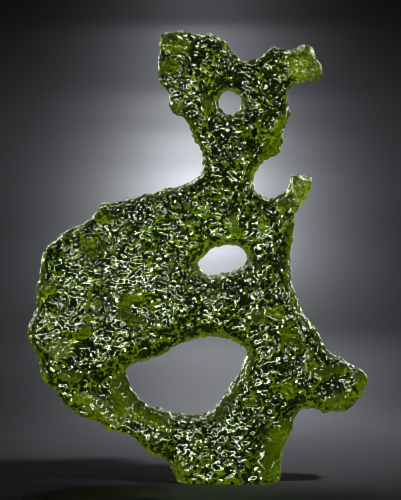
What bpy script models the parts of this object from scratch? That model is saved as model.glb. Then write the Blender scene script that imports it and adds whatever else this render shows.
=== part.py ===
"""A moldavite: one openwork plate of natural green glass, etched into pits, cups and ledges all over.

The piece stands on a small flat spot at the end of its foot. X runs across the plate, Y through its
thickness with the front at -Y, and Z is up. The origin lies on the plane that the piece stands on,
under the middle of its box. Lengths in the tables are millimetres, turned into metres by MM.
"""

import itertools

import bmesh
import bpy
import numpy as np
from mathutils import Matrix

MM = 0.001

# The outline seen from the front, (x, z), clockwise from the top left corner of the left ear.
LEFT_EAR = [
    (-4.4, 58.6), (-3.9, 59.1), (-2.7, 59.0), (-1.0, 59.2), (-0.3, 59.0), (0.4, 58.6), (2.0, 58.7),
    (2.7, 58.6), (3.1, 58.2), (3.9, 58.1), (4.6, 57.2), (4.5, 56.7), (5.6, 55.6), (6.2, 55.2),
    (7.2, 55.0), (8.2, 55.2), (9.2, 55.8),
]
RIGHT_EAR = [
    (9.4, 56.2), (9.8, 56.8), (10.3, 57.2), (10.8, 56.7), (11.7, 56.7), (13.1, 56.6), (13.8, 57.3),
    (14.4, 57.5), (15.1, 57.3), (15.7, 56.7), (16.1, 55.5), (16.4, 54.3), (16.9, 54.1), (17.2, 53.6),
    (17.0, 52.9), (16.2, 52.3), (14.4, 51.9), (13.3, 51.9), (12.5, 51.4), (12.1, 50.6),
]
NECK_RIGHT = [
    (12.4, 49.7), (12.4, 48.8), (12.7, 48.0), (12.6, 47.2), (12.0, 46.2), (11.5, 44.6), (11.7, 43.8),
    (11.6, 42.9), (11.1, 42.6), (10.0, 42.4), (9.1, 41.5), (8.0, 40.2), (7.8, 39.4), (8.2, 38.4),
    (9.0, 37.6),
]
HOOK = [
    (9.9, 37.2), (10.9, 37.3), (11.8, 37.9), (12.4, 38.9), (12.5, 40.3), (12.8, 40.8), (13.5, 40.4),
    (14.8, 40.1), (15.8, 39.8), (15.8, 39.1), (14.8, 37.4), (14.1, 35.9), (13.5, 35.1),
]
RIGHT_FLANK = [
    (13.1, 33.4), (13.2, 32.1), (12.8, 30.3), (12.7, 28.2), (13.1, 25.7), (13.7, 23.5), (14.3, 22.2),
    (15.7, 20.7), (16.6, 19.0), (17.7, 17.3), (18.3, 16.5),
]
RIGHT_ARM = [
    (19.4, 16.3), (20.3, 15.6), (22.1, 15.0), (22.7, 14.5), (22.8, 13.8), (22.5, 12.2), (21.8, 11.3),
    (21.3, 10.5), (20.2, 9.5), (18.3, 9.1), (17.0, 9.0), (16.3, 9.4), (15.6, 9.8), (14.3, 9.7),
    (13.2, 8.7),
]
FOOT = [
    (13.4, 7.9), (13.1, 6.9), (11.9, 5.1), (11.7, 3.6), (11.4, 2.1), (11.4, 0.3), (10.8, -1.5),
    (5.0, -1.6), (-0.6, -1.5), (-1.9, -0.2), (-2.8, 0.9), (-3.4, 2.1), (-3.1, 3.3),
]
LOWER_LEFT = [
    (-3.6, 3.4), (-4.3, 3.4), (-4.7, 3.1), (-5.2, 3.2), (-5.5, 3.8), (-6.2, 4.0), (-6.9, 4.5),
    (-7.3, 5.1), (-7.2, 5.5), (-8.5, 5.9), (-10.3, 6.4), (-11.2, 6.6), (-12.6, 7.7), (-13.3, 7.9),
    (-14.2, 7.9), (-15.9, 9.1), (-16.4, 9.8), (-17.2, 10.1), (-17.9, 11.1), (-18.1, 11.7),
    (-19.4, 12.9), (-20.0, 13.7), (-20.2, 15.2), (-20.2, 16.4), (-20.9, 17.3), (-21.4, 18.6),
    (-21.5, 19.6), (-21.7, 20.2), (-21.5, 20.8), (-20.8, 21.6), (-20.4, 23.0), (-20.5, 24.7),
]
UPPER_LEFT = [
    (-20.5, 25.7), (-20.0, 26.7), (-19.8, 28.6), (-19.4, 30.6), (-18.6, 31.2), (-17.7, 31.7),
    (-17.2, 32.3), (-16.4, 33.0), (-15.1, 33.6), (-14.2, 33.9), (-13.5, 34.4), (-12.7, 35.4),
    (-12.0, 36.5), (-10.8, 36.7), (-9.6, 36.6), (-8.7, 37.1), (-7.0, 37.4), (-6.5, 37.8),
    (-5.5, 37.5), (-4.6, 38.0), (-3.5, 38.7), (-2.2, 38.7), (-0.8, 39.3), (0.0, 39.5),
]
NECK_LEFT = [
    (0.3, 40.0), (1.0, 40.6), (1.1, 41.5), (1.0, 43.2), (0.3, 44.7), (-0.6, 46.2), (-1.1, 47.7),
    (-1.4, 48.2), (-2.3, 47.8), (-2.9, 48.4), (-3.0, 48.8), (-3.4, 49.3), (-3.4, 49.8), (-2.5, 50.4),
    (-3.3, 51.2), (-4.9, 52.8), (-4.9, 53.2), (-4.3, 54.0), (-4.3, 54.7), (-4.5, 55.9), (-4.9, 56.4),
    (-4.7, 56.9), (-4.6, 57.7),
]
OUTLINE = (
    LEFT_EAR + RIGHT_EAR + NECK_RIGHT + HOOK + RIGHT_FLANK + RIGHT_ARM + FOOT + LOWER_LEFT
    + UPPER_LEFT + NECK_LEFT
)

# The three holes that go right through.
TOP_HOLE = [
    (3.4, 51.0), (4.6, 51.2), (5.6, 50.9), (6.2, 50.1), (6.4, 49.1), (6.0, 48.5), (5.3, 47.9),
    (4.2, 48.2), (3.6, 48.9), (3.1, 49.5), (3.3, 50.3),
]
MIDDLE_HOLE = [
    (0.2, 28.7), (0.8, 29.4), (1.7, 29.7), (2.3, 30.4), (3.0, 30.8), (4.6, 30.9), (6.0, 30.9),
    (6.4, 30.5), (7.0, 30.4), (7.0, 29.1), (6.5, 28.3), (6.0, 27.8), (4.8, 27.6), (3.6, 27.4),
    (2.5, 27.1), (1.3, 27.4), (0.6, 28.0),
]
BOTTOM_HOLE = [
    (-8.9, 14.3), (-8.1, 15.1), (-6.9, 15.6), (-5.3, 16.1), (-4.0, 16.2), (-3.6, 16.8), (-2.5, 17.6),
    (-0.9, 18.1), (0.3, 18.7), (1.6, 18.9), (3.4, 19.0), (4.9, 18.7), (6.0, 18.0), (7.0, 17.1),
    (6.7, 16.1), (6.1, 14.8), (5.6, 13.8), (4.4, 12.1), (3.5, 10.8), (3.0, 9.8), (2.1, 8.8),
    (0.5, 8.9), (-1.2, 8.8), (-2.7, 9.1), (-4.3, 9.6), (-6.0, 10.1), (-7.6, 11.2), (-7.8, 12.0),
    (-8.3, 12.8), (-8.7, 13.4),
]

# Half the plate's thickness around a place: (x, z, half thickness).
THICK_PLACES = [
    (-13, 27, 2.9), (-12, 17, 2.9), (-3, 27, 3.3), (-9, 9, 2.5), (9, 33, 3.5), (10, 23, 3.9),
    (5, 36, 3.2), (6, 44, 2.8), (9, 50, 2.6), (-1, 54, 2.3), (14, 54, 2.4), (14, 39, 2.2),
    (19, 13, 2.6), (10, 12, 3.9), (5, 4, 4.3), (0, 4, 3.4),
]
THICK_REACH = 5.0
# At its edges the plate thins to RIM_HALF over ROLL_WIDTH, and further in it still gains CROWN_RISE a mm.
RIM_HALF = 0.6
ROLL_WIDTH = 3.0
CROWN_RISE = 0.05

# How far the middle of the plate leans out of its plane around a place: (x, z, shift along Y).
BOWED_PLACES = [(-17, 22, 0.9), (-2, 56, -0.9), (14, 54, 1.0), (21, 12, -0.9), (5, 2, 0.0), (4, 28, 0.0)]
BOW_REACH = 8.0

# Craters of the front, which meet the skin in a sharp rim: (x, z, reach, depth).
FRONT_CRATERS = [
    (-7.3, 22.8, 2.5, 1.6), (-12.1, 23.4, 1.4, 1.0), (-13.2, 30.9, 1.7, 1.1), (-14.0, 18.4, 1.8, 1.0),
    (-6.6, 36.0, 1.7, 1.1), (-1.0, 5.2, 1.8, 0.9), (10.8, 52.4, 1.4, 1.1), (11.0, 50.2, 1.4, 1.1),
    (6.8, 51.9, 1.3, 0.7), (-2.7, 54.7, 2.1, 1.2), (14.9, 16.9, 1.1, 0.9), (14.9, 15.2, 1.1, 0.9),
    (12.8, 19.6, 1.8, 1.1), (8.5, 22.5, 1.7, 0.8), (11.2, 22.6, 1.3, 0.7), (-4.3, 32.6, 1.5, 0.8),
    (7.6, 10.2, 1.9, 0.8), (5.1, 4.0, 1.5, 0.6), (11.4, 12.8, 1.7, 0.7), (-17.5, 25.0, 1.9, 0.7),
    (-16.8, 13.0, 1.8, 0.7), (9.6, 36.2, 1.4, 0.7), (-10.6, 12.6, 3.0, 1.3), (-8.0, 9.4, 2.7, 1.3),
    (-4.8, 8.1, 2.2, 0.9), (10.9, 4.6, 2.9, 1.2), (10.6, 44.4, 2.3, 0.9), (19.4, 14.4, 1.7, 0.5),
]

# Knobs and swellings of the front, which rise softly: (x, z, reach, height).
FRONT_KNOBS = [
    (-4.2, 6.3, 1.7, 0.8), (-1.2, 7.2, 1.5, 0.5), (14.5, 55.6, 1.7, 0.8), (16.2, 53.2, 1.2, 0.6),
    (10.2, 56.2, 1.1, 0.6), (-2.4, 57.6, 1.6, 0.7), (-4.0, 52.9, 1.2, 0.7), (-18.8, 17.2, 1.8, 0.5),
    (17.8, 11.2, 2.0, 0.6), (4.0, 24.6, 2.6, 0.5), (3.4, 42.0, 2.2, 0.5), (-0.9, 1.9, 1.6, 0.5),
]

# The back is out of sight, so its craters are strewn evenly over it.
BACK_CRATERS = 46
BACK_ACROSS = (-20, 21)
BACK_UP = (3, 58)
BACK_REACH = (1.3, 2.8)
BACK_DEPTH = (0.5, 1.3)
BACK_SEED = 11

# Etched cups in two sizes: (cell, depth, share of the cell that a cup covers, seed).
CUP_LAYERS = [(4.4, 0.75, 0.8, 3), (2.6, 0.6, 0.75, 8)]
# Broad swellings between them.
SWELL_CELL = 7.0
SWELL_RISE = 0.4
SWELL_SEED = 5
# Thin edges keep only a share of that relief.
CUP_FULL_DEPTH_AT = 2.2
CUP_RIM_SHARE = 0.15
# What turns a cell's number into a seed's place: a matrix, then a large multiple of a sine.
JITTER_STIR = [[12.71, 26.95, 41.92], [31.17, 18.33, 37.19], [7.47, 24.61, 16.86]]
JITTER_SCALE = 43758.5453

# The flat plate that the piece starts from, and the squares of its skin.
PLATE_HALF = 1.2
LOOP_STEPS = 6
WELD = 0.01
VOXEL = 0.85
SMOOTH_ROUNDS = 1
SMOOTH_SHARE = 0.4
SKIN_GROWTH = 0.1
CUT_SNAP = 0.0001

GLASS_COLOUR = (0.13, 0.21, 0.02, 1.0)
GLASS_INDEX = 1.49
GLASS_ROUGHNESS = 0.08


def clear_scene():
    for item in list(bpy.data.objects):
        bpy.data.objects.remove(item, do_unlink=True)


def smooth_loop(corners):
    """A closed Catmull-Rom curve through the corners, LOOP_STEPS points for each span."""
    here = np.array(corners, float) * MM
    before = np.roll(here, 1, axis=0)
    after = np.roll(here, -1, axis=0)
    beyond = np.roll(here, -2, axis=0)
    spans = []
    for t in np.arange(LOOP_STEPS) / LOOP_STEPS:
        spans.append(
            0.5 * (2 * here + (after - before) * t
                   + (2 * before - 5 * here + 4 * after - beyond) * t**2
                   + (3 * here - before - 3 * after + beyond) * t**3)
        )
    return np.stack(spans, axis=1).reshape(-1, 2)


def flat_plate(loops):
    """A filled 2D curve of the outline and holes, drawn in XY, stood up in XZ and made a mesh."""
    curve = bpy.data.curves.new("plate", "CURVE")
    curve.dimensions = "2D"
    curve.fill_mode = "BOTH"
    curve.extrude = PLATE_HALF * MM
    for loop in loops:
        spline = curve.splines.new("POLY")
        spline.points.add(len(loop) - 1)
        for point, (x, z) in zip(spline.points, loop):
            point.co = (x, z, 0.0, 1.0)
        spline.use_cyclic_u = True
    drawn = bpy.data.objects.new("plate", curve)
    bpy.context.scene.collection.objects.link(drawn)
    graph = bpy.context.evaluated_depsgraph_get()
    mesh = bpy.data.meshes.new_from_object(drawn.evaluated_get(graph))
    bpy.data.objects.remove(drawn)
    mesh.transform(Matrix.Rotation(np.pi / 2, 4, "X"))
    work = bmesh.new()
    work.from_mesh(mesh)
    bmesh.ops.remove_doubles(work, verts=work.verts, dist=WELD * MM)
    bmesh.ops.recalc_face_normals(work, faces=work.faces)
    work.to_mesh(mesh)
    work.free()
    return mesh


def even_skin(mesh):
    """The plate as one skin of even squares, from a voxel Remesh."""
    blank = bpy.data.objects.new("blank", mesh)
    bpy.context.scene.collection.objects.link(blank)
    remesh = blank.modifiers.new("Voxels", "REMESH")
    remesh.mode = "VOXEL"
    remesh.voxel_size = VOXEL * MM
    graph = bpy.context.evaluated_depsgraph_get()
    skin = bpy.data.meshes.new_from_object(blank.evaluated_get(graph))
    bpy.data.objects.remove(blank)
    return skin


def points_of(mesh):
    """The mesh's vertices in millimetres."""
    flat = np.empty(len(mesh.vertices) * 3)
    mesh.vertices.foreach_get("co", flat)
    return flat.reshape(-1, 3) / MM


def set_points(mesh, points):
    mesh.vertices.foreach_set("co", (points * MM).ravel())
    mesh.update()


def normals_of(mesh):
    flat = np.empty(len(mesh.vertices) * 3, np.float32)
    mesh.vertex_normals.foreach_get("vector", flat)
    return flat.reshape(-1, 3).astype(float)


def edge_distance(points, loops):
    """How far each point lies from the nearest edge of the plate or of a hole, seen from the front."""
    nearest = np.full(len(points), np.inf)
    for loop in loops:
        start = loop / MM
        run = np.roll(start, -1, axis=0) - start
        away = points[:, None, [0, 2]] - start[None]
        along = np.clip((away * run).sum(2) / (run**2).sum(1), 0, 1)
        gap = np.linalg.norm(away - along[..., None] * run, axis=2)
        nearest = np.minimum(nearest, gap.min(1))
    return nearest


def blended(points, places, reach):
    """A value given at a few places (x, z, value), blended between them by a bell curve of distance."""
    places = np.array(places, float)
    gap = np.linalg.norm(points[:, None, [0, 2]] - places[None, :, :2], axis=2)
    weight = np.exp(-((gap / reach) ** 2)) + 1e-9
    return (weight * places[:, 2]).sum(1) / weight.sum(1)


def cell_jitter(corner, seed):
    """Three numbers from 0 to 1 for each cell: the fraction of a large multiple of a sine."""
    return np.modf(np.abs(np.sin(corner @ np.array(JITTER_STIR) + seed) * JITTER_SCALE))[0]


def nearest_seed(points, cell, seed):
    """Distance, in cells, from each point to the nearest of the seeds strewn one to a cubic cell."""
    scaled = points / cell
    base = np.floor(scaled)
    nearest = np.full(len(points), np.inf)
    for step in itertools.product((-1, 0, 1), repeat=3):
        corner = base + step
        gap = np.linalg.norm(corner + cell_jitter(corner, seed) - scaled, axis=1)
        nearest = np.minimum(nearest, gap)
    return nearest


def etched_cups(points, cell, depth, share, seed):
    """Round-bottomed cups that meet in sharp ridges, as how far they sink below the surface."""
    gap = nearest_seed(points, cell, seed) / share
    return depth * np.clip(1 - gap**2, 0, 1)


def craters(points, places):
    """How deep the craters (x, z, reach, depth) lie: bowls that are parabolas across."""
    deepest = np.zeros(len(points))
    for x, z, reach, depth in places:
        gap = np.hypot(points[:, 0] - x, points[:, 2] - z) / reach
        deepest = np.maximum(deepest, depth * np.clip(1 - gap**2, 0, 1))
    return deepest


def knobs(points, places):
    """How high the knobs (x, z, reach, height) rise: raised cosines across."""
    total = np.zeros(len(points))
    for x, z, reach, height in places:
        gap = np.clip(np.hypot(points[:, 0] - x, points[:, 2] - z) / reach, 0, 1)
        total += height * 0.5 * (1 + np.cos(np.pi * gap))
    return total


def back_craters():
    rng = np.random.default_rng(BACK_SEED)
    return list(zip(
        rng.uniform(*BACK_ACROSS, BACK_CRATERS), rng.uniform(*BACK_UP, BACK_CRATERS),
        rng.uniform(*BACK_REACH, BACK_CRATERS), rng.uniform(*BACK_DEPTH, BACK_CRATERS),
    ))


def swell(points, loops):
    """Turns the flat plate into a thick one with rolled rims that follow a quarter ellipse."""
    side = points[:, 1] / PLATE_HALF
    edge = edge_distance(points, loops)
    roll = np.sqrt(1 - (1 - np.clip(edge / ROLL_WIDTH, 0, 1)) ** 2)
    half = RIM_HALF + (blended(points, THICK_PLACES, THICK_REACH) - RIM_HALF) * roll + CROWN_RISE * edge
    bow = blended(points, BOWED_PLACES, BOW_REACH)
    return np.column_stack([points[:, 0], side * half + bow, points[:, 2]]), edge, roll


def relax(mesh):
    """Evens out the voxel steps: each point moves part of the way to the mean of its neighbours."""
    work = bmesh.new()
    work.from_mesh(mesh)
    for _ in range(SMOOTH_ROUNDS):
        bmesh.ops.smooth_vert(
            work, verts=work.verts, factor=SMOOTH_SHARE, use_axis_x=True, use_axis_y=True, use_axis_z=True
        )
    work.to_mesh(mesh)
    work.free()


def etch(mesh, edge, roll):
    """Sinks the craters along Y and the cups along the surface's own direction."""
    points = points_of(mesh)
    outward = normals_of(mesh)
    front = outward[:, 1] < 0
    front_sink = craters(points, FRONT_CRATERS) - knobs(points, FRONT_KNOBS)
    sink = np.where(front, front_sink, craters(points, back_craters()))
    points[:, 1] -= outward[:, 1] * sink * roll
    set_points(mesh, points)
    cups = -SWELL_RISE * (1 - nearest_seed(points, SWELL_CELL, SWELL_SEED))
    for cell, depth, share, seed in CUP_LAYERS:
        cups += etched_cups(points, cell, depth, share, seed)
    cups *= np.clip(edge / CUP_FULL_DEPTH_AT, CUP_RIM_SHARE, 1)
    set_points(mesh, points + normals_of(mesh) * (SKIN_GROWTH - cups)[:, None])


def cut_foot(mesh):
    """Cuts the foot off flat at z = 0, splits the squares across their short way and closes the cut."""
    work = bmesh.new()
    work.from_mesh(mesh)
    whole = work.verts[:] + work.edges[:] + work.faces[:]
    cut = bmesh.ops.bisect_plane(
        work, geom=whole, dist=CUT_SNAP * MM, plane_co=(0, 0, 0), plane_no=(0, 0, 1), clear_inner=True
    )
    rim = [item for item in cut["geom_cut"] if isinstance(item, bmesh.types.BMEdge)]
    bmesh.ops.triangulate(work, faces=work.faces, quad_method="SHORT_EDGE")
    bmesh.ops.contextual_create(work, geom=rim)
    bmesh.ops.recalc_face_normals(work, faces=work.faces)
    work.to_mesh(mesh)
    work.free()


def centre(mesh):
    """Moves the mesh so that the middle of its box is over the origin."""
    points = points_of(mesh)
    middle = (points.min(0) + points.max(0)) / 2
    set_points(mesh, points - [middle[0], middle[1], 0])


def green_glass():
    material = bpy.data.materials.new("green_glass")
    material.use_nodes = True
    shader = material.node_tree.nodes["Principled BSDF"]
    shader.inputs["Base Color"].default_value = GLASS_COLOUR
    shader.inputs["Roughness"].default_value = GLASS_ROUGHNESS
    shader.inputs["IOR"].default_value = GLASS_INDEX
    shader.inputs["Metallic"].default_value = 0.0
    return material


def main():
    clear_scene()
    loops = [smooth_loop(corners) for corners in (OUTLINE, TOP_HOLE, MIDDLE_HOLE, BOTTOM_HOLE)]
    mesh = even_skin(flat_plate(loops))
    points, edge, roll = swell(points_of(mesh), loops)
    set_points(mesh, points)
    relax(mesh)
    etch(mesh, edge, roll)
    cut_foot(mesh)
    centre(mesh)
    mesh.name = "moldavite"
    mesh.materials.append(green_glass())
    stone = bpy.data.objects.new("moldavite", mesh)
    group = bpy.data.collections.new("moldavite")
    bpy.context.scene.collection.children.link(group)
    group.objects.link(stone)


main()
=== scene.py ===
# %% [markdown]
# A moldavite is a splash of natural glass. Acid in the ground has etched it for millions of years, so
# every part of its skin is pits, cups and grooves, and light comes through it green. The solid of the
# frame has its outline, its three holes and its larger craters. This lesson grows the fine etching on
# a copy of that solid, makes a clear glass that absorbs light as it goes deeper, and lights the piece
# as a photographer lights glass: with a ring of narrow lamps round the front, and from behind.

import itertools

import bmesh
import bpy
import numpy as np
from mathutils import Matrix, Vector


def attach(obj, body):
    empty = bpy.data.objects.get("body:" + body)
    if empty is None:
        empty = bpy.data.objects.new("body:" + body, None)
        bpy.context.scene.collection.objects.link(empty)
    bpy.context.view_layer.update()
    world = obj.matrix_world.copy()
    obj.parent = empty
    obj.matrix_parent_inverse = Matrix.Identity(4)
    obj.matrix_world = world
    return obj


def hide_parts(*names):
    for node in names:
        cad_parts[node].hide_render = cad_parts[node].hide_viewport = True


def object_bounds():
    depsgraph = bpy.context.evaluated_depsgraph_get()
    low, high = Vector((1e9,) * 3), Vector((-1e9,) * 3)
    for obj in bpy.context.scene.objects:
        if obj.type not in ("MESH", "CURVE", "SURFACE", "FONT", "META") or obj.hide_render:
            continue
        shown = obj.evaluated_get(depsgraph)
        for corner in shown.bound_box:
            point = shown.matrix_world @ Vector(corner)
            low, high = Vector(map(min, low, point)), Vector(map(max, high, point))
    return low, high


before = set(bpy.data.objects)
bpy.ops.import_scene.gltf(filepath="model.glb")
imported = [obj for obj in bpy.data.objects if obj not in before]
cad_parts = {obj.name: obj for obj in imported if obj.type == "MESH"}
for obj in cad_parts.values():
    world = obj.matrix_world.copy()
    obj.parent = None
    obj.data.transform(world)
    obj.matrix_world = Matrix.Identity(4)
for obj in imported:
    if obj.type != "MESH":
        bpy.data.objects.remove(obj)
cad_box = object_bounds()
MM = 0.001
print("solid box, mm:", [[round(v / MM, 2) for v in corner] for corner in cad_box])

# %% [markdown]
# The solid is made of flat triangles almost a millimetre wide. A finer skin could be sculpted or cut
# by Boolean, but a natural surface has no edges to keep, so the copy is rounded by Subdivision
# Surface and then covered by Remesh with even squares under a quarter of a millimetre wide. Even
# squares matter: a pit looks the same wherever it falls.

# %% A fine skin on a copy of the solid
SKIN_SQUARE = 0.23 * MM
MERGE_WITHIN = SKIN_SQUARE / 100
ROUNDING_LEVELS = 2


def fine_copy(node, square):
    """The node's mesh with its loose triangles merged, rounded and covered by even squares."""
    mesh = node.data.copy()
    work = bmesh.new()
    work.from_mesh(mesh)
    bmesh.ops.remove_doubles(work, verts=work.verts, dist=MERGE_WITHIN)
    work.to_mesh(mesh)
    work.free()
    mesh.materials.clear()
    blank = bpy.data.objects.new("blank", mesh)
    bpy.context.scene.collection.objects.link(blank)
    rounding = blank.modifiers.new("Rounding", "SUBSURF")
    rounding.levels = ROUNDING_LEVELS
    rounding.render_levels = ROUNDING_LEVELS
    squares = blank.modifiers.new("Squares", "REMESH")
    squares.mode = "VOXEL"
    squares.voxel_size = square
    graph = bpy.context.evaluated_depsgraph_get()
    skin = bpy.data.meshes.new_from_object(blank.evaluated_get(graph))
    bpy.data.objects.remove(blank)
    return skin


def points_of(mesh):
    """Places of the mesh's points, one row for each."""
    flat = np.empty(len(mesh.vertices) * 3, np.float32)
    mesh.vertices.foreach_get("co", flat)
    return flat.reshape(-1, 3).astype(float)


def set_points(mesh, points):
    """Moves the mesh's points to new places."""
    mesh.vertices.foreach_set("co", points.astype(np.float32).ravel())
    mesh.update()


def normals_of(mesh):
    """The direction in which the skin faces at each point."""
    flat = np.empty(len(mesh.vertices) * 3, np.float32)
    mesh.vertex_normals.foreach_get("vector", flat)
    return flat.reshape(-1, 3).astype(float)


skin = fine_copy(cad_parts["moldavite"], SKIN_SQUARE)
print("skin:", len(skin.vertices), "points,", len(skin.polygons), "squares")

# %% [markdown]
# Remesh leaves small steps, like stairs on a slope. Each point is moved part of the way to the mean
# of its neighbours. The neighbours come from the list of edges, and the sums are taken for all points
# at once.

# %% Smooth the steps
SMOOTH_ROUNDS = 3
SMOOTH_SHARE = 0.5


def relaxed(mesh, rounds, share):
    """Points after some rounds of moving a share of the way to the mean of the neighbours."""
    ends = np.empty(len(mesh.edges) * 2, np.int32)
    mesh.edges.foreach_get("vertices", ends)
    ends = ends.reshape(-1, 2)
    one, other = ends[:, 0], ends[:, 1]
    points = points_of(mesh)
    count = np.bincount(ends.ravel(), minlength=len(points))[:, None]
    for _ in range(rounds):
        total = np.stack([
            np.bincount(one, points[other, axis], len(points))
            + np.bincount(other, points[one, axis], len(points))
            for axis in range(3)
        ], axis=1)
        points += share * (total / count - points)
    return points


set_points(skin, relaxed(skin, SMOOTH_ROUNDS, SMOOTH_SHARE))
print("smoothed", SMOOTH_ROUNDS, "rounds")

# %% [markdown]
# Etched cups touch each other, and where two meet they leave a sharp ridge. That is the pattern of the
# distance to the nearest of many seeds, one in each cell of a grid: its square is a round bowl about
# every seed. The seeds come from a sine whose large multiples look random and never change.

# %% Cups about scattered seeds
STIR = np.array([[12.71, 26.95, 41.92], [31.17, 18.33, 37.19], [7.47, 24.61, 16.86]])
STIR_SCALE = 43758.5453
LOT_BY_X, LOT_BY_Z = 7.31, 3.17
CUP_REACH = 0.85
SHALLOWEST = 0.45


def scattered(cell, seed):
    """Three numbers from 0 to 1 for each cell: the fraction of a large multiple of a sine."""
    return np.modf(np.abs(np.sin(cell @ STIR + seed) * STIR_SCALE))[0]


def seed_distance(points, size, seed):
    """Distance in cells to the nearest seed, and a number from 0 to 1 that belongs to that seed."""
    scaled = points / size
    base = np.floor(scaled)
    nearest = np.full(len(points), np.inf)
    lot = np.zeros(len(points))
    for step in itertools.product((-1, 0, 1), repeat=3):
        cell = base + step
        place = scattered(cell, seed)
        gap = np.linalg.norm(cell + place - scaled, axis=1)
        closer = gap < nearest
        nearest = np.where(closer, gap, nearest)
        lot = np.where(closer, np.modf(place[:, 0] * LOT_BY_X + place[:, 2] * LOT_BY_Z)[0], lot)
    return nearest, lot


def cups(points, size, seed):
    """Bowls: 1 less the square of distance over reach, times a depth that the seed's number gives."""
    gap, lot = seed_distance(points, size, seed)
    return np.clip(1 - (gap / CUP_REACH) ** 2, 0, 1) * (SHALLOWEST + (1 - SHALLOWEST) * lot)


print("a cup reaches", CUP_REACH, "cells, and is", SHALLOWEST, "to 1 deep at its seed")

# %% [markdown]
# The pits aren't alike all over. On the left disc they are round. On the neck they run together into
# grooves that slope down to the right, and on the right side they are drawn out upwards. Squeezing
# space along one direction before the cups are worked out draws them out along it. The neck's are
# a little deeper too.

# %% Where the pits are drawn out
NECK_FROM, NECK_TO = 38.0 * MM, 42.0 * MM
FLANK_FROM, FLANK_TO = 4.0 * MM, 9.0 * MM
NECK_GROOVE = Vector((0.75, 0.1, -0.65))
FLANK_GROOVE = Vector((0.35, 0.1, 0.93))
DRAWN_OUT = 1.7
NECK_DEEPER = 1.1


def ramp(values, low, high):
    """0 below low, 1 above high and a smooth step between them."""
    t = np.clip((values - low) / (high - low), 0, 1)
    return t * t * (3 - 2 * t)


def squeezed(points, along, ratio):
    """Points with their distance along a direction divided by the ratio."""
    along = np.array(along.normalized())
    return points - np.outer(points @ along, along) * (1 - 1 / ratio)


def cups_by_region(points, size, seed):
    """Round cups, with drawn out ones on the neck and on the right side."""
    neck = ramp(points[:, 2], NECK_FROM, NECK_TO)
    flank = ramp(points[:, 0], FLANK_FROM, FLANK_TO) * (1 - neck)
    round_ones = cups(points, size, seed)
    neck_ones = cups(squeezed(points, NECK_GROOVE, DRAWN_OUT), size, seed + 1)
    flank_ones = cups(squeezed(points, FLANK_GROOVE, DRAWN_OUT), size, seed + 2)
    return round_ones * (1 - neck - flank) + neck_ones * neck * NECK_DEEPER + flank_ones * flank


on_neck = points_of(skin)[:, 2] > NECK_TO
print("share of the skin with the neck's grooves:", round(on_neck.mean(), 2))

# %% [markdown]
# The front has its own landmarks, measured on the photograph. Some places are smooth, where a bubble
# burst or a chip came off late, and their colour is painted from a dark olive shade to a pale glow.
# Others keep their pits and only take painted glow, where light shines through thin glass, with a
# painted sheen in one place; others again take painted shade, where a crater is deep. Each is an
# ellipse: its middle, its two half sizes, all in mm, its turn in degrees, and for a smooth place how
# far its colour goes from painted shade to painted glow, from 0 to 1.

# %% The landmarks of the front
SMOOTH_PLACES = [
    # the bevel left of the large hole, and under it, in painted glow
    (-10.0, 12.6, 1.3, 1.9, 0, 1.0), (-9.4, 10.4, 2.1, 1.6, 0, 1.0), (-6.1, 8.7, 3.0, 1.1, -14, 1.0),
    # the crescent in the middle of the disc, in painted shade
    (-9.5, 22.8, 0.9, 1.6, 0, 0.2), (-8.0, 24.3, 1.3, 0.6, 0, 0.2), (-8.0, 21.3, 1.3, 0.6, 0, 0.2),
    # small flats of the disc, and the chip on its left edge
    (-13.0, 23.4, 0.6, 0.8, 0, 0.15), (-13.9, 30.9, 0.7, 1.2, 0, 0.45), (-12.2, 35.1, 1.3, 1.0, 0, 0.35),
    (-14.5, 20.2, 0.8, 0.7, 0, 0.35), (-19.4, 25.4, 1.0, 0.8, 0, 0.5), (-16.5, 14.0, 1.5, 0.8, 0, 0.4),
    (-19.9, 13.8, 0.4, 1.0, 15, 1.0),
    # right of the middle hole and above it
    (11.1, 36.4, 1.0, 0.7, 0, 0.5), (11.1, 33.8, 0.5, 0.8, 0, 0.4), (4.6, 34.2, 0.7, 1.2, 0, 0.45),
    (8.4, 34.2, 0.5, 1.1, 0, 0.35), (7.8, 22.1, 0.9, 1.1, 0, 0.15), (10.5, 22.8, 0.8, 1.0, 0, 0.4),
    # down the right side to the end of the arm
    (12.6, 19.1, 0.8, 1.8, 37, 0.35), (14.5, 16.4, 0.6, 1.9, 0, 0.4), (16.5, 14.6, 1.4, 0.6, 0, 0.6),
    (18.7, 15.2, 1.0, 0.8, 0, 0.9), (21.3, 14.0, 0.9, 1.5, 0, 1.0), (11.8, 12.6, 0.9, 1.2, 0, 0.4),
    # the foot and above it
    (10.1, 4.3, 1.7, 3.8, -20, 1.0), (6.9, 10.8, 0.8, 0.5, 0, 0.1),
    # the facet right of the neck, beside the top hole, and the left ear
    (10.0, 45.6, 0.8, 3.2, -26, 0.85), (9.7, 43.6, 1.0, 1.0, 0, 0.75), (1.3, 49.5, 0.7, 1.2, 0, 0.8),
    (-3.5, 54.5, 1.2, 1.0, 0, 0.35),
]
# Places of painted light: glow where light shines through thin glass, and one painted sheen streak.
PAINTED_LIGHT_PLACES = [
    # painted glow on the right ear, the hook and the left ear
    (14.1, 54.9, 2.2, 2.3, 0), (13.4, 38.6, 1.2, 1.9, 0), (-2.9, 57.5, 1.8, 1.3, 0),
    # painted glow at the left end of the foot, and a painted sheen streak above it
    (-2.5, 2.0, 1.3, 1.0, 0), (-4.8, 6.6, 1.8, 0.6, 22),
    # painted glow on the underside of the disc, its lower left, the lump left of the top hole, and the
    # arm
    (-12.6, 9.5, 3.5, 1.2, -28), (-17.8, 17.6, 1.5, 1.2, 0), (-3.3, 49.4, 1.2, 1.2, 0),
    (18.6, 11.0, 2.2, 1.0, 0),
]
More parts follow.
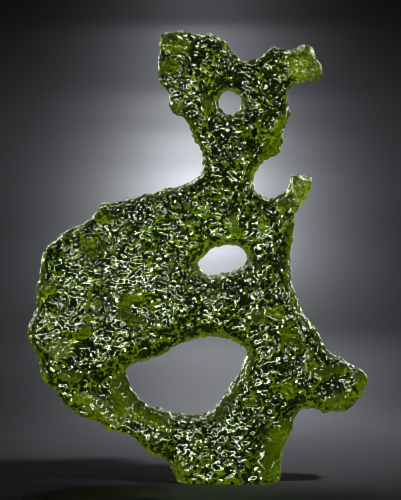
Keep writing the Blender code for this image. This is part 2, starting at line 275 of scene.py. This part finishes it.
# Places of painted shade, where a crater is deep.
SHADE_PLACES = [
    (10.1, 52.0, 0.7, 2.6, 0), (-7.4, 36.1, 1.6, 0.8, 0), (-12.6, 10.4, 0.6, 0.8, 0),
    (-1.9, 5.2, 0.8, 0.8, 0), (-12.6, 23.7, 1.0, 1.0, 0), (-14.6, 18.2, 1.2, 0.7, 0),
    (10.4, 29.1, 0.6, 0.6, 0),
]
PLACE_FADE = 0.3
FRONT_FROM, FRONT_TO = 0.0, 0.4


def share_in(place, points, outward):
    """1 in the ellipse of a place, 0 outside it and a smooth step between, on the front alone."""
    x, z, half_x, half_z, turn = place[:5]
    angle = np.radians(turn)
    across = points[:, 0] / MM - x
    up = points[:, 2] / MM - z
    u = (across * np.cos(angle) + up * np.sin(angle)) / half_x
    v = (up * np.cos(angle) - across * np.sin(angle)) / half_z
    inside = 1 - ramp(np.hypot(u, v), 1 - PLACE_FADE, 1 + PLACE_FADE)
    return inside * ramp(-outward[:, 1], FRONT_FROM, FRONT_TO)


print("places:", len(SMOOTH_PLACES), "smooth,", len(PAINTED_LIGHT_PLACES), "pale,", len(SHADE_PLACES), "dark")

# %% [markdown]
# The skin is now pushed in along its own direction, large cups first, because the small ones have to
# follow the walls of the large. It is first pushed out by about the mean depth, so that the outline
# stays as wide as the solid. The foot is pressed flat again at the end: the piece stands on it. A
# painted shade for each point, deeper in deeper pits and in the shaded craters, is kept in an
# attribute of the mesh. Four more attributes keep the smooth places, how far their painted colour
# goes from shade to glow, the places of painted light and the rim, where the skin turns away from
# the front. A size of cup is given by its width and depth in mm and its seed.

# %% Etch the skin
CUP_SIZES = [(1.7, 0.30, 20), (0.62, 0.32, 40), (0.46, 0.30, 60)]
# Painted shade: how much each size of cup gives and how much the shade places add; the rim lightens it.
PIT_SHADE_SHARES = [0.4, 0.35, 0.40]
SHADE_PLACES_ADD = 0.3
RIM_FROM, RIM_TO = 0.35, 0.85
RIM_FILLS = 0.5
PUSH_OUT = 0.24
SMOOTH_KEEPS = 0.12
FOOT_HEIGHT = 0.35
FACES_DOWN = -0.6


def etch(mesh):
    """Less depth times cup along the normal, for every size; returns five shares for each point."""
    points, outward = points_of(mesh), normals_of(mesh)
    on_foot = (outward[:, 2] < FACES_DOWN) & (points[:, 2] < FOOT_HEIGHT * MM)
    smooth_shares = [share_in(place, points, outward) for place in SMOOTH_PLACES]
    smooth = np.max(smooth_shares, axis=0)
    # How far each smooth place's colour goes from painted shade to painted glow.
    shade_to_glow = np.max([share * place[5] for share, place in zip(smooth_shares, SMOOTH_PLACES)], axis=0)
    rim = ramp(1 - np.abs(outward[:, 1]), RIM_FROM, RIM_TO)
    # Painted light: the rim and the places where light shines through thin glass, one of them a sheen.
    pale = np.maximum(rim, np.max([share_in(place, points, outward) for place in PAINTED_LIGHT_PLACES], axis=0))
    # Painted shade, first on the shade places; the cups add theirs below.
    pit_shade = np.max([share_in(place, points, outward) for place in SHADE_PLACES], axis=0) * SHADE_PLACES_ADD
    keeps = 1 - smooth * (1 - SMOOTH_KEEPS)
    set_points(mesh, points + outward * PUSH_OUT * MM)
    for (size, depth, seed), part in zip(CUP_SIZES, PIT_SHADE_SHARES):
        points = points_of(mesh)
        sink = cups_by_region(points, size * MM, seed) * keeps
        set_points(mesh, points - normals_of(mesh) * sink[:, None] * depth * MM)
        # Deeper cups get more painted shade.
        pit_shade += sink * part
    points = points_of(mesh)
    points[on_foot, 2] = 0
    points[:, 2] = np.maximum(points[:, 2], 0)
    low, high = (np.array(corner) for corner in cad_box)
    set_points(mesh, np.clip(points, low, high))
    # The painted shade is lighter at the rim.
    return pit_shade * (1 - rim * RIM_FILLS), smooth, shade_to_glow, pale, rim


for name, values in zip(("pit_shade", "smooth", "shade_to_glow", "pale", "rim"), etch(skin)):
    kept = skin.attributes.new(name, "FLOAT", "POINT")
    kept.data.foreach_set("value", values.astype(np.float32))
    print(name, "on average:", round(values.mean(), 2))

# %% [markdown]
# The mesh is finished, so it becomes the piece. Nothing on it moves, so it rides on the one body of
# the frame, and it takes the place of the plain solid, which stays for collision alone.

# %% The piece
stone = bpy.data.objects.new("etched_moldavite", skin)
bpy.context.scene.collection.objects.link(stone)
skin.shade_smooth()
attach(stone, "root")
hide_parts("moldavite")
print("triangles:", 2 * len(skin.polygons))

# %% [markdown]
# Shader maths is easier to read as expressions. This small class wraps a node's output, so that
# adding or multiplying two of them adds a Math node. Every other node comes from one method.

# %% Shader maths as expressions


class Wire:
    """One output socket of a node tree, with the usual operators."""

    def __init__(self, tree, socket):
        self.tree = tree
        self.socket = socket

    def node(self, kind, settings=None, **inputs):
        """Adds a node, makes its settings, fills its inputs, by name or as i0, i1, and returns it."""
        made = self.tree.nodes.new(kind)
        for name, value in (settings or {}).items():
            setattr(made, name, value)
        for name, value in inputs.items():
            key = int(name[1:]) if name[0] == "i" and name[1:].isdigit() else name
            if isinstance(value, Wire):
                self.tree.links.new(value.socket, made.inputs[key])
            else:
                made.inputs[key].default_value = value
        return made

    def blend(self, share, first, second):
        """A colour between two others, by a share."""
        made = self.node("ShaderNodeMix", {"data_type": "RGBA"}, i0=share, i6=first, i7=second)
        return Wire(self.tree, made.outputs[2])

    def math(self, operation, first, second=0.0):
        """One Math node on two values or sockets."""
        made = self.node("ShaderNodeMath", {"operation": operation}, i0=first, i1=second)
        return Wire(self.tree, made.outputs[0])

    def __add__(self, other):
        return self.math("ADD", self, other)

    def __sub__(self, other):
        return self.math("SUBTRACT", self, other)

    def __mul__(self, other):
        return self.math("MULTIPLY", self, other)

    def __rsub__(self, other):
        return self.math("SUBTRACT", other, self)

    __radd__ = __add__
    __rmul__ = __mul__


print("operators: + - * on sockets and numbers")

# %% [markdown]
# The glass is clear: light enters it, bends, and is absorbed on its way, blue first and red next, so
# a thin rim is bright yellow-green and a thick part nearly black. That is plain transmission with
# absorption inside, and both are constants on their own sockets. The outermost skin is the brightest
# part of the look: acid leaves it polished, so every wall of every pit holds the image of a lamp. A
# coat with a higher index than the glass gives those sparks, and is weaker on the smooth places and
# at the rim. The colour has painted shade in the pits and shaded places, painted glow at the rim and
# where light shines through thin glass, and a painted olive shade to pale glow on the smooth places.
# Two Voronoi patterns add pits that are finer than the mesh: they feed a Bump node and paint shade
# in their middles. Each is given by its width in mm and its depth.

# %% Green glass
INDEX = 1.49
ABSORBED_PER_MM = (0.100, 0.074, 0.60)
ABSORPTION_DENSITY = 700.0
SKIN_INDEX = 1.85
SKIN_ROUGHNESS = 0.08
INNER_SHEEN = (0.06, 0.10, 0.015, 1)
# The crest keeps the glass's own tint; the painted shade, painted light and olive shade tints follow.
CREST_TINT = (0.80, 1.0, 0.014, 1)
PAINTED_SHADE_TINT = (0.002, 0.004, 0.0005, 1)
PAINTED_LIGHT_TINT = (1.0, 1.0, 0.20, 1)
SHADED_OLIVE_TINT = (0.045, 0.06, 0.002, 1)
PAINTED_LIGHT_SHARE = 0.85
DULL_SHARE = 0.85
RIM_DULLS = 0.5
SHADE_FROM, SHADE_TO = 0.34, 0.52
FINE_PITS = [(0.66, 0.45), (0.42, 0.22)]
FINE_MIDDLE = 0.55
FINE_PIT_SHADE = 0.7
CLOUD_SCALE = 260.0
CLOUD_DETAIL = 3.0
CLOUD_SHARE = 0.02
INNER_ROUGHNESS = 0.28


def green_glass():
    """Clear glass with absorption inside; its tint blends the crest tint with painted shade and painted
    light by the attributes.
    """
    material = bpy.data.materials.new("green_glass")
    material.use_nodes = True
    tree = material.node_tree
    shader = tree.nodes["Principled BSDF"]
    place = Wire(tree, tree.nodes.new("ShaderNodeTexCoord").outputs["Object"])
    shade_depth, smooth, shade_to_glow, pale, rim = (
        Wire(tree, place.node("ShaderNodeAttribute", {"attribute_name": name}).outputs["Fac"])
        for name in ("pit_shade", "smooth", "shade_to_glow", "pale", "rim")
    )
    height = 0.0
    for size, depth in FINE_PITS:
        scale = 1 / (size * MM)
        cells = place.node("ShaderNodeTexVoronoi", {"feature": "F1"}, Vector=place, Scale=scale)
        gap = Wire(tree, cells.outputs["Distance"])
        height = gap * gap * depth + height
        # Painted shade, darker in the middle of each fine pit.
        shade_depth = shade_depth + (FINE_MIDDLE - gap) * FINE_PIT_SHADE
    smooth_step = {"interpolation_type": "SMOOTHSTEP"}
    deep = place.node("ShaderNodeMapRange", smooth_step, Value=shade_depth, i1=SHADE_FROM, i2=SHADE_TO)
    deep = Wire(tree, deep.outputs["Result"])
    # Painted shade in the pits and shaded places.
    pitted = place.blend(deep, CREST_TINT, PAINTED_SHADE_TINT)
    # Painted glow at the rim and where light shines through, with one painted sheen.
    pitted = place.blend(pale * PAINTED_LIGHT_SHARE, pitted, PAINTED_LIGHT_TINT)
    # Smooth places: painted olive shade to painted glow.
    tint = place.blend(smooth, pitted, place.blend(shade_to_glow, SHADED_OLIVE_TINT, PAINTED_LIGHT_TINT))
    tree.links.new(tint.socket, shader.inputs["Base Color"])
    shine = (1 - smooth * DULL_SHARE) * (1 - rim * RIM_DULLS)
    tree.links.new(shine.socket, shader.inputs["Coat Weight"])
    cloud = place.node("ShaderNodeTexNoise", None, Vector=place, Scale=CLOUD_SCALE, Detail=CLOUD_DETAIL)
    polish = Wire(tree, cloud.outputs["Fac"]) * CLOUD_SHARE + INNER_ROUGHNESS
    tree.links.new(polish.socket, shader.inputs["Roughness"])
    bump = place.node("ShaderNodeBump", None, Strength=1.0, Distance=MM, Height=height)
    tree.links.new(bump.outputs["Normal"], shader.inputs["Normal"])
    shader.inputs["Transmission Weight"].default_value = 1.0
    shader.inputs["IOR"].default_value = INDEX
    shader.inputs["Specular Tint"].default_value = INNER_SHEEN
    shader.inputs["Coat IOR"].default_value = SKIN_INDEX
    shader.inputs["Coat Roughness"].default_value = SKIN_ROUGHNESS
    inside = tree.nodes.new("ShaderNodeVolumeAbsorption")
    inside.inputs["Density"].default_value = ABSORPTION_DENSITY
    inside.inputs["Color"].default_value = (
        *[1 - absorbed / (ABSORPTION_DENSITY * MM) for absorbed in ABSORBED_PER_MM], 1
    )
    output = tree.nodes["Material Output"]
    tree.links.new(inside.outputs["Volume"], output.inputs["Volume"])
    return material


skin.materials.append(green_glass())
print("absorbed each mm, red green blue:", ABSORBED_PER_MM)

# %% [markdown]
# The floor is one wide pale sheet. The camera looks down on it at a small angle, so it fills the
# whole background, and the lamps alone decide how bright it is near the piece and far behind.

# %% Floor
FLOOR_HALF = 3.0
FLOOR_DROP = 0.02 * MM
FLOOR_COLOUR = (0.53, 0.55, 0.60, 1)
FLOOR_ROUGHNESS = 0.6


def pale_floor():
    """One square, just under the foot, with a plain pale finish."""
    mesh = bpy.data.meshes.new("floor")
    corners = [(x, y, -FLOOR_DROP) for x, y in ((-1, -1), (1, -1), (1, 1), (-1, 1))]
    mesh.from_pydata([(x * FLOOR_HALF, y * FLOOR_HALF, z) for x, y, z in corners], [], [(0, 1, 2, 3)])
    floor = bpy.data.objects.new("floor", mesh)
    bpy.context.scene.collection.objects.link(floor)
    paint = bpy.data.materials.new("pale_floor")
    paint.use_nodes = True
    shader = paint.node_tree.nodes["Principled BSDF"]
    shader.inputs["Base Color"].default_value = FLOOR_COLOUR
    shader.inputs["Roughness"].default_value = FLOOR_ROUGHNESS
    mesh.materials.append(paint)
    return floor


floor = pale_floor()
print("floor:", 2 * FLOOR_HALF, "m wide")

# %% [markdown]
# Glass shows its lamps as highlights. In the photograph every pit holds thin bright strokes that
# nearly close to a ring, so the lamps nearly close to a ring too: narrow strips left, right and above,
# and a low card. They are strong, since clear glass sends back only a twenty-fifth of what falls on
# it, and three wide soft boxes behind shine through the stone. That much light would burn out a pale
# floor. A photographer keeps it off with flags. Here a lamp's light linking does the same: these lamps
# light the stone alone, a little yellow-green, as the sparks in the photograph are. Others light the
# floor alone: a small pool by the foot, a wide wash, and a glow behind the piece. A row of strips
# close above the floor carries that glow far back. A lamp is given by its place, its target, its size,
# its radiance and its spread in degrees, and a strip by its height, where it starts and ends, and its
# radiance.

# %% Soft light
MIDDLE = (0.0, 0.0, 0.03)
STONE_LIGHT_COLOUR = (0.92, 1.04, 0.72)
FLOOR_LIGHT_COLOUR = (1.0, 1.0, 1.0)
WIDE_SPREAD = 180.0
STONE_LIGHTS = [
    ("left_box", (-0.34, -0.26, 0.15), (0.035, 0.16), 28),
    ("right_box", (0.34, -0.24, 0.14), (0.035, 0.16), 26),
    ("top_box", (0.01, -0.20, 0.40), (0.17, 0.04), 26),
    ("low_card", (-0.04, -0.10, 0.004), (0.16, 0.012), 22),
    ("back_left", (-0.17, 0.32, 0.10), (0.14, 0.30), 6.0),
    ("back_right", (0.17, 0.32, 0.10), (0.14, 0.30), 6.0),
    ("back_top", (0.0, 0.30, 0.30), (0.30, 0.12), 4.0),
]
FLOOR_LIGHTS = [
    ("floor_pool", (0.17, -0.065, 0.36), (0.010, 0.030, 0.0), (0.055, 0.055), 0.12, 6),
    ("floor_wash", (0.0, 0.35, 0.45), (0.0, 0.35, 0.0), (0.10, 0.10), 1.0, 120),
    ("near_glow", (0.006, 0.08, 0.030), (0.006, 0.08, 0.0), (0.02, 0.08), 0.7, 120),
]
GLOW_X, GLOW_WIDTH, GLOW_SPREAD = 0.001, 0.01, 130
GLOW_STRIPS = [
    (0.018, 0.22, 0.36, 1.1), (0.020, 0.19, 0.43, 1.2), (0.023, 0.15, 0.52, 1.1),
    (0.028, 0.10, 0.72, 0.8), (0.034, 0.30, 1.10, 0.5),
]


def lit_only(lamp, piece):
    """Lets a lamp light only this piece."""
    group = bpy.data.collections.new(lamp.name + "_lights")
    group.objects.link(piece)
    lamp.light_linking.receiver_collection = group


def soft_box(name, place, target, size, radiance, piece, colour, spread):
    """A rectangular lamp turned to its target. Its power is radiance, as seen, times pi and its area."""
    data = bpy.data.lights.new(name, "AREA")
    data.shape = "RECTANGLE"
    data.size, data.size_y = size
    data.energy = radiance * np.pi * size[0] * size[1]
    data.spread = np.radians(spread)
    data.color = colour
    lamp = bpy.data.objects.new(name, data)
    lamp.location = place
    lamp.rotation_euler = (Vector(target) - Vector(place)).to_track_quat("-Z", "Y").to_euler()
    lamp.visible_camera = False
    bpy.context.scene.collection.objects.link(lamp)
    lit_only(lamp, piece)


for name, place, size, radiance in STONE_LIGHTS:
    soft_box(name, place, MIDDLE, size, radiance, stone, STONE_LIGHT_COLOUR, WIDE_SPREAD)
for name, place, target, size, radiance, spread in FLOOR_LIGHTS:
    soft_box(name, place, target, size, radiance, floor, FLOOR_LIGHT_COLOUR, spread)
for height, start, end, radiance in GLOW_STRIPS:
    middle = (start + end) / 2
    size = (GLOW_WIDTH, end - start)
    place, target = (GLOW_X, middle, height), (GLOW_X, middle, 0.0)
    soft_box("glow", place, target, size, radiance, floor, FLOOR_LIGHT_COLOUR, GLOW_SPREAD)
print("lamps:", len(STONE_LIGHTS), "on the stone,", len(FLOOR_LIGHTS) + len(GLOW_STRIPS), "on the floor")

# %% [markdown]
# The room itself is nearly black, so that the lamps alone make the highlights. Standard view keeps
# the colours as they are lit. Light that has bounced is limited, which takes away stray bright dots,
# and caustics are off, since glass this rough throws only noise on the floor. The light tree is off,
# because together with light linking it leaves wedges of shade. A narrow pixel and an unfiltered
# denoiser keep the sparks sharp.

# %% The room, and how light is sampled
ROOM_COLOUR = (0.004, 0.004, 0.004, 1)
BOUNCE_LIMIT = 1.5
PIXEL_WIDTH = 1.0

world = bpy.data.worlds.new("studio")
world.use_nodes = True
world.node_tree.nodes["Background"].inputs["Color"].default_value = ROOM_COLOUR
scene = bpy.context.scene
scene.world = world
scene.view_settings.view_transform = "Standard"
scene.cycles.sample_clamp_indirect = BOUNCE_LIMIT
scene.cycles.use_light_tree = False
scene.cycles.filter_width = PIXEL_WIDTH
scene.cycles.denoising_prefilter = "NONE"
scene.cycles.caustics_reflective = False
scene.cycles.caustics_refractive = False
print("room:", ROOM_COLOUR[:3])

# %% [markdown]
# The photograph looks a little down on the piece through a long lens. 500 picture lines span 65 mm.

# %% Camera
LENS_DISTANCE = 0.60
LOOK_DOWN = 7.5
FRAME_HEIGHT = 65.0 * MM
LOOK_AT = Vector((0.42 * MM, 0.0, 30.4 * MM))
SENSOR = 36.0
SEES_FROM, SEES_TO = 0.01, 20.0


def camera():
    """A camera at a distance, looking down; its lens is sensor times distance over the height seen."""
    data = bpy.data.cameras.new("camera")
    data.sensor_width = SENSOR
    data.lens = SENSOR * LENS_DISTANCE / FRAME_HEIGHT
    data.clip_start = SEES_FROM
    data.clip_end = SEES_TO
    down = np.radians(LOOK_DOWN)
    back = Vector((0.0, -np.cos(down), np.sin(down)))
    eye = bpy.data.objects.new("camera", data)
    eye.location = LOOK_AT + back * LENS_DISTANCE
    eye.rotation_euler = (-back).to_track_quat("-Z", "Y").to_euler()
    bpy.context.scene.collection.objects.link(eye)
    bpy.context.scene.camera = eye
    return eye


print("lens, mm:", round(camera().data.lens))
